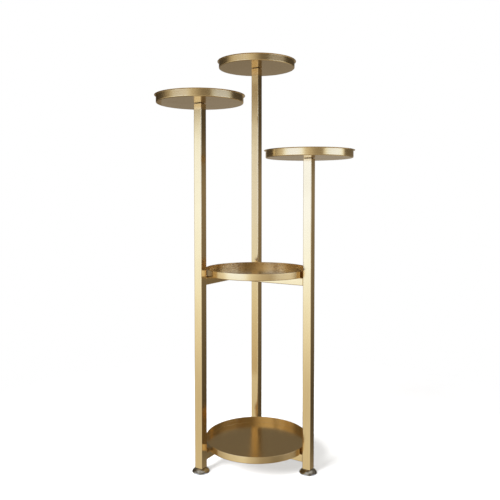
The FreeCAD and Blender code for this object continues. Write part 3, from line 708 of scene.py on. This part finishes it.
def socket_bolt(span, sizes):
    """A bolt along +Z with a round-edged head at its start.

    The rings of its socket are hexagons, those of its head circles, and the rest is a thread.
    """
    edge, top = sizes.small_edge, sizes.head_height
    radius, rounding = sizes.head_radius, sizes.head_round
    flats = hexagon(sizes.socket_across)
    head = arc((radius - rounding, rounding), rounding, -90.0, 0.0, LONG_ARC_STEPS)
    rows = [(flats, sizes.socket_depth), (flats, edge), (flats + edge, 0.0)]
    rows += [(circle(reach), height) for reach, height in head]
    rows += [(circle(radius), top - edge), (circle(radius - edge), top)]
    radii, heights = zip(*rows)
    screw_radii, screw_heights = thread(sizes.bolt_radius, sizes.bolt_pitch, top, span, sizes.thread_tip)
    poles = ((0.0, 0.0, sizes.socket_depth), (0.0, 0.0, span))
    return rings(np.vstack((radii, screw_radii)), np.append(heights, screw_heights), poles=poles)


def washer(sheet, radius, bore, edge):
    """A stamped washer along +Z, rounded on its upper outside edge."""
    return turned(np.vstack((
        [(bore, 0.0), (radius, 0.0)],
        arc((radius - edge, sheet - edge), edge, 0.0, 90.0),
        [(bore, sheet)],
    )), steps=FOOT_ROUND_STEPS, wrap=True)


class Wire:
    """One socket of a node tree. Arithmetic on wires adds Math nodes, and node() adds any other node."""

    def __init__(self, tree, socket=None):
        self.tree = tree
        self.socket = socket

    def node(self, kind, settings=None, inputs=None, output=0):
        """Adds a node: its settings first, a ramp's stops among them, then its sockets' values and links."""
        node = self.tree.nodes.new(kind)
        for name, value in (settings or {}).items():
            if name == "stops":
                while len(node.color_ramp.elements) < len(value):
                    node.color_ramp.elements.new(1.0)
                for element, (place, level) in zip(node.color_ramp.elements, value):
                    element.position = place
                    element.color = (level, level, level, 1.0)
            else:
                setattr(node, name, value)
        for name, value in (inputs or {}).items():
            if isinstance(value, Wire):
                self.tree.links.new(value.socket, node.inputs[name])
            else:
                node.inputs[name].default_value = value
        return Wire(self.tree, node.outputs[output] if node.outputs else None)

    def maths(self, operation, first, second):
        """Adds a Math node on two values, each a wire or a number."""
        return self.node("ShaderNodeMath", {"operation": operation}, {0: first, 1: second})

    def __add__(self, other):
        return self.maths("ADD", self, other)

    def __sub__(self, other):
        return self.maths("SUBTRACT", self, other)

    def __rsub__(self, other):
        return self.maths("SUBTRACT", other, self)

    def __mul__(self, other):
        return self.maths("MULTIPLY", self, other)

    __radd__ = __add__
    __rmul__ = __mul__


def coordinates(wire, source):
    """The coordinates of that name."""
    return wire.node("ShaderNodeTexCoord", output=source)


def vector_maths(operation, first, *others, output="Vector"):
    """A Vector Math node on one or two vectors."""
    inputs = dict(enumerate((first, *others)))
    return first.node("ShaderNodeVectorMath", {"operation": operation}, inputs, output)


def noise(place, scale, detail):
    """Cloudy values from nought to one, at so many clouds to the metre."""
    return place.node("ShaderNodeTexNoise", {}, {"Vector": place, "Scale": scale, "Detail": detail}, "Fac")


def lined(place, grain, detail):
    """Noise drawn out into lines, so many to the metre along each of the coordinates."""
    return noise(vector_maths("MULTIPLY", place, grain), 1.0, detail)


def ramp(value, band):
    """Takes the values of a band smoothly to those between its start and end."""
    inputs = dict(zip(("Value", "From Min", "From Max", "To Min", "To Max"), (value, *band)))
    return value.node("ShaderNodeMapRange", {"interpolation_type": "SMOOTHSTEP"}, inputs, "Result")


def mixed(mask, first, second):
    """A colour that goes from first to second with the mask."""
    inputs = {"Factor": mask, MIX_FIRST: first, MIX_SECOND: second}
    return mask.node("ShaderNodeMix", {"data_type": "RGBA"}, inputs, MIX_OUTPUT)


def rgba(tint):
    """A property's colour with full alpha."""
    return (*tint, 1.0)


def bumped(height, depth):
    """A normal tilted by a height pattern, with its depth in metres."""
    return height.node("ShaderNodeBump", {}, {"Strength": 1.0, "Distance": depth, "Height": height}, "Normal")


def new_material(name):
    """An empty node material, with the wire that starts its tree."""
    material = bpy.data.materials.new(name)
    material.use_nodes = True
    material.node_tree.nodes.clear()
    return material, Wire(material.node_tree)


def close(shader):
    """Ends a material's tree with its shader."""
    shader.node("ShaderNodeOutputMaterial", {}, {"Surface": shader})


def principled(wire, inputs):
    """Ends a material's tree with a principled shader."""
    close(wire.node("ShaderNodeBsdfPrincipled", {}, inputs, "BSDF"))


def gold_coat(name, colours):
    """Gold metallic lacquer: faint brush lines along the grain, clouds, fine flakes, and edges paled as edge
    wear and a painted highlight.
    """
    source, grain, satin = GOLD_FINISHES[name]
    material, wire = new_material(name)
    place = coordinates(wire, "Object")
    lines = lined(coordinates(wire, source), grain, COAT_LINE_DETAIL)
    clouds = noise(place, *COAT_CLOUDS)
    flakes = noise(place, *COAT_FLAKES)
    peel = noise(place, *COAT_PEEL)
    wear_and_sheen_clouds = noise(place, *COAT_WEAR_AND_SHEEN_CLOUDS)
    worn = wire.node("ShaderNodeAttribute", {"attribute_name": "worn"}, output="Fac")
    deep, pale = rgba(colours.gold_deep), rgba(colours.gold_rubbed)
    coat = mixed(ramp(clouds, CLOUD_SHARE), rgba(colours.gold), deep)
    coat = mixed(ramp(lines, LINE_SHARE), coat, deep)
    coat = mixed(ramp(flakes, FLAKE_SHARE), coat, pale)
    principled(wire, {
        # Edges paled as edge wear and a painted highlight.
        "Base Color": mixed(worn * ramp(wear_and_sheen_clouds, WEAR_AND_SHEEN_SHARE), coat, pale),
        "Metallic": 1.0,
        "Roughness": satin + ramp(lines, LINE_ROUGHNESS) + ramp(clouds, CLOUD_ROUGHNESS),
        "Normal": bumped(lines * LINE_RELIEF + peel * PEEL_RELIEF, COAT_DEPTH),
    })
    return material


def chrome_plate(name, colours):
    """Bright plate with finger marks and fine turning lines."""
    material, wire = new_material(name)
    lines = lined(coordinates(wire, "UV"), (0.0, CHROME_LINES, 0.0), CHROME_LINE_DETAIL)
    marks = ramp(noise(coordinates(wire, "Object"), *CHROME_MARKS), MARK_SHARE)
    principled(wire, {
        "Base Color": mixed(marks, rgba(colours.chrome), rgba(colours.chrome_dull)),
        "Metallic": 1.0,
        "Roughness": CHROME_ROUGHNESS + MARK_ROUGHNESS * marks,
        "Normal": bumped(lines, CHROME_DEPTH),
    })
    return material


def zinc_plate(name, colours):
    """Dull grey plate with yellow clouds and a fine grain."""
    material, wire = new_material(name)
    place = coordinates(wire, "Object")
    stain = ramp(noise(place, *ZINC_CLOUDS), STAIN_SHARE)
    grain = noise(place, *ZINC_GRAIN)
    principled(wire, {
        "Base Color": mixed(stain, rgba(colours.zinc), rgba(colours.zinc_stain)),
        "Metallic": 1.0,
        "Roughness": ramp(grain, ZINC_ROUGHNESS),
        "Normal": bumped(grain, ZINC_DEPTH),
    })
    return material


def moulded_pad(name, colours):
    """Moulded dark plastic with a fine texture, paler where it is scuffed."""
    material, wire = new_material(name)
    place = coordinates(wire, "Object")
    scuff = ramp(noise(place, *PAD_SCUFFS), SCUFF_SHARE)
    texture = noise(place, *PAD_TEXTURE)
    principled(wire, {
        "Base Color": mixed(scuff, rgba(colours.pad), rgba(colours.pad_scuff)),
        "Roughness": ramp(texture, PAD_ROUGHNESS),
        "Normal": bumped(texture, PAD_DEPTH),
    })
    return material


FINISHES = {
    **dict.fromkeys(GOLD_FINISHES, gold_coat),
    "chrome_plate": chrome_plate,
    "zinc_plate": zinc_plate,
    "moulded_pad": moulded_pad,
}


def finish_of(kind, colours):
    """The finish of that name, made once."""
    return bpy.data.materials.get(kind) or FINISHES[kind](kind, colours)


def gold_piece(name, node, finish, shape, scene):
    """Makes a gold piece of the stand with the half width, height and foot of the node it stands for."""
    box = box_of(node)
    part = placed(shape(box.half, box.height, scene.stand_sizes), box.foot)
    dress(name, node, "stand", "gold_finish", finish_of(finish, scene.stand_colours), part)


class STAND_OT_posts(bpy.types.Operator):
    """Make the three posts as square tubes"""
    bl_idname = "plant_stand.posts"
    bl_label = "Posts"

    def execute(self, context):
        for side in SIDES:
            gold_piece(f"coated_post_{side}", f"post_{side}", "gold_tube", tube, context.scene)
        return {"FINISHED"}


class STAND_OT_bars(bpy.types.Operator):
    """Coat the drilled crossbars and stems, and make the welds at their ends"""
    bl_idname = "plant_stand.bars"
    bl_label = "Crossbars and stems"

    def execute(self, context):
        sizes, colours = context.scene.stand_sizes, context.scene.stand_colours
        welds = []
        for level in LEVELS:
            for kind, (axis, directions) in BAR_WELDS.items():
                node = f"{kind}_{level}"
                coat_nodes([node], finish_of(f"gold_{kind}", colours))
                bar = box_of(node)
                bead = weld(bar.height / 2.0, sizes)
                for end, direction in zip((bar.low, bar.high), directions):
                    if direction is not None:
                        seam = bar.middle.copy()
                        seam[axis] = end[axis]
                        welds.append(placed(bead, seam, direction))
        beads = mesh_object("coated_welds", welds, finish_of("gold_tube", colours))
        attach(beads, "stand")
        return {"FINISHED"}


class STAND_OT_top_trays(bpy.types.Operator):
    """Make the spun trays on the posts"""
    bl_idname = "plant_stand.top_trays"
    bl_label = "Top trays"

    def execute(self, context):
        for side in SIDES:
            gold_piece(f"spun_tray_{side}", f"tray_{side}", "gold_tray", top_tray, context.scene)
        return {"FINISHED"}


class STAND_OT_tray_washers(bpy.types.Operator):
    """Make the dark washers between the posts and the top trays"""
    bl_idname = "plant_stand.tray_washers"
    bl_label = "Tray washers"

    def execute(self, context):
        sizes = context.scene.stand_sizes
        radius = box_of("tray_washers").high[0] - box_of("post_right").middle[0]
        discs = []
        for side in SIDES:
            tray, post = box_of(f"tray_{side}"), box_of(f"post_{side}")
            disc = washer(tray.low[2] - post.high[2], radius, sizes.tray_washer_bore, sizes.small_edge)
            discs.append(placed(disc, (*tray.middle[:2], post.high[2])))
        plastic = finish_of("moulded_pad", context.scene.stand_colours)
        dress("moulded_tray_washers", "tray_washers", "stand", "dark_pad", plastic, *discs)
        return {"FINISHED"}


class STAND_OT_shelves(bpy.types.Operator):
    """Make the pressed shelf trays between the posts"""
    bl_idname = "plant_stand.shelves"
    bl_label = "Shelf trays"

    def execute(self, context):
        for level in LEVELS:
            gold_piece(f"pressed_shelf_{level}", f"shelf_{level}", "gold_shelf", shelf_tray, context.scene)
        return {"FINISHED"}


class STAND_OT_feet(bpy.types.Operator):
    """Make the levelling feet: dome, glide pad and threaded stud"""
    bl_idname = "plant_stand.feet"
    bl_label = "Feet"

    def execute(self, context):
        sizes, colours = context.scene.stand_sizes, context.scene.stand_colours
        chrome, zinc = finish_of("chrome_plate", colours), finish_of("zinc_plate", colours)
        plastic = finish_of("moulded_pad", colours)
        for side in SIDES:
            names = [f"foot_{kind}_{side}" for kind in ("dome", "pad", "stud")]
            dome_name, pad_name, stud_name = names
            dome, pad, stud = map(box_of, names)
            axis = (*pad.middle[:2], 0.0)
            part = placed(foot_dome(dome, pad, stud, sizes), axis)
            dress(f"plated_{dome_name}", dome_name, f"foot_{side}", "chrome", chrome, part)
            part = placed(foot_pad(pad, sizes), axis)
            dress(f"moulded_{pad_name}", pad_name, f"glide_{side}", "dark_pad", plastic, part)
            part = threaded_stud(stud.half, sizes.foot_pitch, stud.height, sizes.thread_tip)
            part = placed(part, stud.foot)
            dress(f"threaded_{stud_name}", stud_name, f"foot_{side}", "zinc_steel", zinc, part)
        return {"FINISHED"}


class STAND_OT_fasteners(bpy.types.Operator):
    """Make the studs and nuts under the shelves and the bolts and washers of the crossbars"""
    bl_idname = "plant_stand.fasteners"
    bl_label = "Fasteners"

    def execute(self, context):
        sizes = context.scene.stand_sizes
        zinc = finish_of("zinc_plate", context.scene.stand_colours)
        studs, bolts, washers = map(box_of, ("shelf_studs", "joint_bolts", "joint_washers"))
        radius = sizes.shelf_stud_radius
        # Every stud reaches as far below the top of its stem as the lowest ones do.
        drop = box_of("stem_lower").high[2] - studs.low[2]
        stud = threaded_stud(radius, sizes.shelf_pitch, drop, sizes.thread_tip)
        nut = flange_nut(sizes)
        bolt = socket_bolt(bolts.high[0] - bolts.low[0], sizes)
        sheet, washer_radius = washers.high[0] - washers.low[0], (washers.high[1] - washers.low[1]) / 2.0
        disc = washer(sheet, washer_radius, sizes.bolt_radius + sizes.bolt_gap, sizes.small_edge)
        parts = {"shelf_studs": [], "shelf_nuts": [], "joint_bolts": [], "joint_washers": []}
        for level in LEVELS:
            stem = box_of(f"stem_{level}")
            _, y, middle = stem.middle
            top = stem.high[2]
            for x in (studs.low[0] + radius, studs.high[0] - radius):
                parts["shelf_studs"].append(placed(stud, (x, y, top), DOWN))
                parts["shelf_nuts"].append(placed(nut, (x, y, top - sizes.tube_wall), DOWN))
            parts["joint_bolts"].append(placed(bolt, (bolts.low[0], y, middle), ALONG_X))
            parts["joint_washers"].append(placed(disc, (washers.high[0], y, middle), BACK_ALONG_X))
        for node, shells in parts.items():
            dress(f"plated_{node}", node, "stand", "zinc_steel", zinc, *shells)
        return {"FINISHED"}


class STAND_OT_inner_parts(bpy.types.Operator):
    """Give the plugs, inserts and sleeves inside the tubes their zinc plate"""
    bl_idname = "plant_stand.inner_parts"
    bl_label = "Inner parts"

    def execute(self, context):
        names = ["tray_studs"]
        names += [f"{kind}_{side}" for kind in ("top_plug", "foot_insert") for side in SIDES]
        names += [f"{kind}_{level}" for kind in ("stem_plug", "sleeve") for level in LEVELS]
        coat_nodes(names, finish_of("zinc_plate", context.scene.stand_colours))
        return {"FINISHED"}


def levelled(height, levels):
    """Brightness against the sine of the height, as a ramp from straight down to straight up."""
    stops = [((sine + 1.0) / 2.0, level / LEVEL_SCALE) for sine, level in levels]
    value = height.node("ShaderNodeValToRGB", {"stops": stops}, {"Fac": height * 0.5 + 0.5}, "Color")
    return height.node("ShaderNodeSeparateColor", {}, {"Color": value}, "Red") * LEVEL_SCALE


def room_world():
    """A white room to the eye; to everything else, a dim room with tall soft lights around it.

    The levels of the walls and lights add up, and each channel is one less e to the minus rate times the sum,
    over its span.
    """
    world = bpy.data.worlds.new("room")
    world.use_nodes = True
    world.node_tree.nodes.clear()
    wire = Wire(world.node_tree)
    place = coordinates(wire, "Generated")
    height = wire.node("ShaderNodeSeparateXYZ", {}, {"Vector": place}, "Z")
    flat = vector_maths("NORMALIZE", vector_maths("MULTIPLY", place, (1.0, 1.0, 0.0)))
    total = levelled(height, ROOM_LEVELS)
    for light in ROOM_LIGHTS:
        turn = math.radians(light.heading)
        middle = (math.cos(turn), math.sin(turn), 0.0)
        near = vector_maths("DOT_PRODUCT", flat, middle, output="Value")
        reach = ramp(near, Band(math.cos(math.radians(light.end)), math.cos(math.radians(light.full))))
        total = total + reach * levelled(height, light.levels)
    channels = {}
    for name, rate, span in zip(("Red", "Green", "Blue"), ROOM_RATES, ROOM_SPANS):
        channels[name] = (1.0 - wire.maths("POWER", math.e, total * -rate)) * (1.0 / span)
    glow = wire.node("ShaderNodeCombineColor", {}, channels, "Color")
    seen = wire.node("ShaderNodeLightPath", output="Is Camera Ray")
    shade = wire.node("ShaderNodeBackground", {}, {"Color": mixed(seen, glow, WHITE)})
    wire.node("ShaderNodeOutputWorld", {}, {"Surface": shade})
    return world


def floor_paint(stage, colours):
    """A plain pale floor that fades into the white background towards its edge."""
    material, wire = new_material("pale_floor")
    reach = vector_maths("LENGTH", coordinates(wire, "Object"), output="Value")
    edge = stage.floor_radius
    fade = ramp(reach, Band(edge * FLOOR_FADE_SHARE, edge, stage.floor_veil, 1.0))
    pale = wire.node("ShaderNodeBsdfDiffuse", {}, {"Color": rgba(colours.floor)}, "BSDF")
    clear = wire.node("ShaderNodeBsdfTransparent", output="BSDF")
    close(wire.node("ShaderNodeMixShader", {}, {0: fade, 1: pale, 2: clear}))
    return material


def tinted_gauze(colours):
    """A thin cloth that lets a tint of the light through."""
    material, wire = new_material("tinted_gauze")
    close(wire.node("ShaderNodeBsdfTransparent", {}, {"Color": rgba(colours.scrim)}, "BSDF"))
    return material


def studio_floor(stage, colours):
    """A round floor under the stand, which the metal doesn't mirror."""
    disc = drum(stage.floor_radius, -FLOOR_DEPTH, 0.0)
    floor = mesh_object("floor", [disc], floor_paint(stage, colours))
    floor.visible_glossy = False


def studio_scrim(stage, colours):
    """A slim upright roll of gauze, seen in reflections alone, that dims what the rear post mirrors."""
    roll = placed(drum(stage.scrim_radius, 0.0, stage.scrim_height), stage.scrim_foot)
    scrim = mesh_object("scrim", [roll], tinted_gauze(colours))
    scrim.visible_camera = False
    scrim.visible_diffuse = False
    scrim.visible_shadow = False


def soft_light(name, place, aim, size, power):
    """A square light that shines on the floor and the matt parts, pointed at its aim."""
    lamp = bpy.data.lights.new(name, "AREA")
    lamp.size = size
    lamp.energy = power
    light = bpy.data.objects.new(name, lamp)
    light.location = place
    light.rotation_euler = (Vector(aim) - Vector(place)).to_track_quat("-Z", "Y").to_euler()
    light.visible_camera = False
    light.visible_glossy = False
    bpy.context.scene.collection.objects.link(light)


def studio_camera(stage):
    """The camera of the main view."""
    camera = bpy.data.cameras.new("camera")
    camera.lens = stage.lens
    camera.shift_y = stage.shift
    view = bpy.data.objects.new("camera", camera)
    view.location = stage.camera
    view.rotation_euler = (math.pi / 2.0 - stage.tilt, 0.0, stage.heading)
    bpy.context.scene.collection.objects.link(view)
    return view


class STAND_OT_studio(bpy.types.Operator):
    """Make the studio: floor, lights, surroundings and camera"""
    bl_idname = "plant_stand.studio"
    bl_label = "Studio"

    def execute(self, context):
        scene = context.scene
        stage, colours = scene.stand_stage, scene.stand_colours
        studio_floor(stage, colours)
        studio_scrim(stage, colours)
        soft_light("key_light", stage.key_place, stage.light_aim, stage.key_size, stage.key_power)
        soft_light("top_light", stage.top_place, stage.light_aim, stage.top_size, stage.top_power)
        scene.world = room_world()
        scene.view_settings.view_transform = "Standard"
        scene.camera = studio_camera(stage)
        return {"FINISHED"}


OPERATORS = (
    STAND_OT_posts, STAND_OT_bars, STAND_OT_top_trays, STAND_OT_tray_washers, STAND_OT_shelves, STAND_OT_feet,
    STAND_OT_fasteners, STAND_OT_inner_parts, STAND_OT_studio,
)


class STAND_PT_panel(bpy.types.Panel):
    """The stand's pieces, sizes, colours and studio"""
    bl_idname = "STAND_PT_panel"
    bl_label = "Plant stand"
    bl_space_type = "VIEW_3D"
    bl_region_type = "UI"
    bl_category = "Plant stand"

    def draw(self, context):
        for operator in OPERATORS:
            self.layout.operator(operator.bl_idname)
        for group in (context.scene.stand_sizes, context.scene.stand_colours, context.scene.stand_stage):
            box = self.layout.box()
            for name in group.__annotations__:
                box.prop(group, name)


GROUPS = {"stand_sizes": StandSizes, "stand_colours": StandColours, "stand_stage": StandStage}
CLASSES = (*GROUPS.values(), *OPERATORS, STAND_PT_panel)


def register():
    """Registers the classes and gives every scene its groups of properties."""
    for item in CLASSES:
        bpy.utils.register_class(item)
    for name, group in GROUPS.items():
        setattr(bpy.types.Scene, name, PointerProperty(type=group))


def unregister():
    """Takes back what register did."""
    for name in GROUPS:
        delattr(bpy.types.Scene, name)
    for item in reversed(CLASSES):
        bpy.utils.unregister_class(item)


def main():
    """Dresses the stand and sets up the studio."""
    register()
    bpy.ops.plant_stand.posts()
    bpy.ops.plant_stand.bars()
    bpy.ops.plant_stand.top_trays()
    bpy.ops.plant_stand.tray_washers()
    bpy.ops.plant_stand.shelves()
    bpy.ops.plant_stand.feet()
    bpy.ops.plant_stand.fasteners()
    bpy.ops.plant_stand.inner_parts()
    bpy.ops.plant_stand.studio()


if __name__ == "__main__":
    main()
